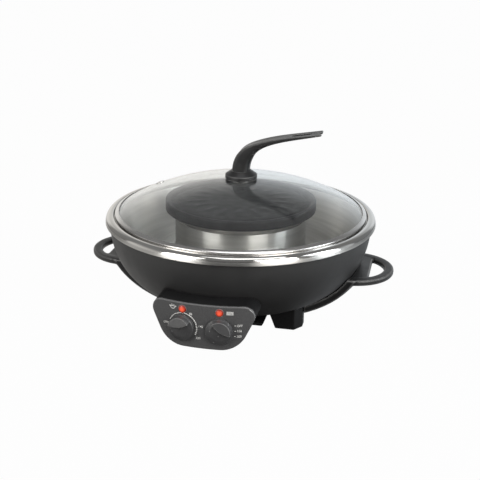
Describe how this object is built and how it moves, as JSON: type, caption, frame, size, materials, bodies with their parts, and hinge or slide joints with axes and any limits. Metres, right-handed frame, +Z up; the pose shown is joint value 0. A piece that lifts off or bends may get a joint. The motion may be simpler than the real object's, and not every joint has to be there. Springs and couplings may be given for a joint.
{
  "type": "electric hot pot with grill",
  "caption": "Round electric hot pot: annular steel pot in a coated bowl, grill plate on its central chimney, loose glass lid with a lever handle, two-knob panel on feet.",
  "frame": {"origin": "middle of the footprint, on the table; the pot's own axis is 15.1 mm behind it", "axes": "+Z up, -Y towards the control panel, +X to the user's right"},
  "size_m": [0.438, 0.4102, 0.264],
  "materials": {
    "bowl_coating": "drawn aluminium with a satin dark coating",
    "stainless": "polished rim, brushed inside",
    "plate_coating": "cast aluminium with a dark non-stick coating",
    "clear_glass": "clear tempered glass",
    "trim_steel": "polished",
    "handle_plastic": "fine satin grain",
    "base_plastic": "satin",
    "panel_plastic": "fine spark-eroded grain",
    "knob_plastic": "satin",
    "lamp_red": "translucent, lit",
    "neon_glass": "clear",
    "rubber_black": "matt",
    "silicone": "matt",
    "screw_steel": "zinc plated",
    "brass_parts": "nickel-free brass",
    "heater_steel": "heat-darkened steel sheath",
    "sheet_aluminium": "bright mill finish",
    "copper_tube": "copper",
    "control_body": "glass-filled nylon",
    "block_nylon": "nylon",
    "wire_sleeve": "silicone sleeve",
    "wire_blue": "silicone sleeve",
    "wire_brown": "silicone sleeve"
  },
  "bodies": {
    "base": {"outer_bowl": "bowl_coating", "left_handle": "handle_plastic", "right_handle": "handle_plastic", "handle_screws": "screw_steel", "base_frame": "base_plastic", "base_cover": "base_plastic", "feet": "base_plastic", "foot_pads": "rubber_black", "frame_screws": "screw_steel", "foot_screws": "screw_steel", "cover_screws": "screw_steel", "cord_gland": "rubber_black", "control_housing": "base_plastic", "control_face": "panel_plastic", "face_screws": "screw_steel", "hotpot_lamp": "lamp_red", "grill_lamp": "lamp_red", "neon_lamps": "neon_glass", "hotpot_thermostat": "control_body", "grill_switch": "control_body", "shaft_nuts": "brass_parts", "hotpot_heater": "heater_steel", "heater_posts": "screw_steel", "heat_reflector": "sheet_aluminium", "thermostat_bulb": "copper_tube", "bulb_clip": "screw_steel", "capillary_tube": "copper_tube", "grill_column": "sheet_aluminium", "grill_reflector": "sheet_aluminium", "grill_heater": "heater_steel", "grill_heater_posts": "screw_steel", "terminal_block": "block_nylon", "thermal_fuse": "block_nylon", "earth_screw": "brass_parts", "heater_leads": "wire_sleeve", "control_leads": "wire_blue", "supply_leads": "wire_brown"},
    "pot": {"pot_liner": "stainless"},
    "grill": {"grill_plate": "plate_coating"},
    "lid": {"lid_glass": "clear_glass", "lid_rim": "trim_steel", "vent_grommet": "trim_steel", "lid_washer": "silicone", "clamp_disc": "trim_steel", "handle_screw": "screw_steel", "handle_collar": "handle_plastic", "lid_handle": "handle_plastic"},
    "hotpot_control": {"hotpot_knob": "knob_plastic", "hotpot_shaft": "screw_steel"},
    "grill_control": {"grill_knob": "knob_plastic", "grill_shaft": "screw_steel"}
  },
  "joints": [
    {"name": "pot_lift", "type": "slide", "parent": "base", "child": "pot", "axis": [0, 0, 1], "range_m": [0, 0.08]},
    {"name": "grill_lift", "type": "slide", "parent": "pot", "child": "grill", "axis": [0, 0, 1], "range_m": [0, 0.05]},
    {"name": "lid_lift", "type": "slide", "parent": "grill", "child": "lid", "axis": [0, 0, 1], "range_m": [0, 0.06]},
    {"name": "hotpot_turn", "type": "hinge", "parent": "base", "child": "hotpot_control", "pos_m": [-0.03009, -0.18871, 0.0525], "axis": [0.1461, 0.9893, 0], "range_deg": [0, 225]},
    {"name": "grill_turn", "type": "hinge", "parent": "base", "child": "grill_control", "pos_m": [0.01795, -0.19014, 0.0525], "axis": [-0.0872, 0.9962, 0], "range_deg": [-22.5, 22.5]}
  ]
}
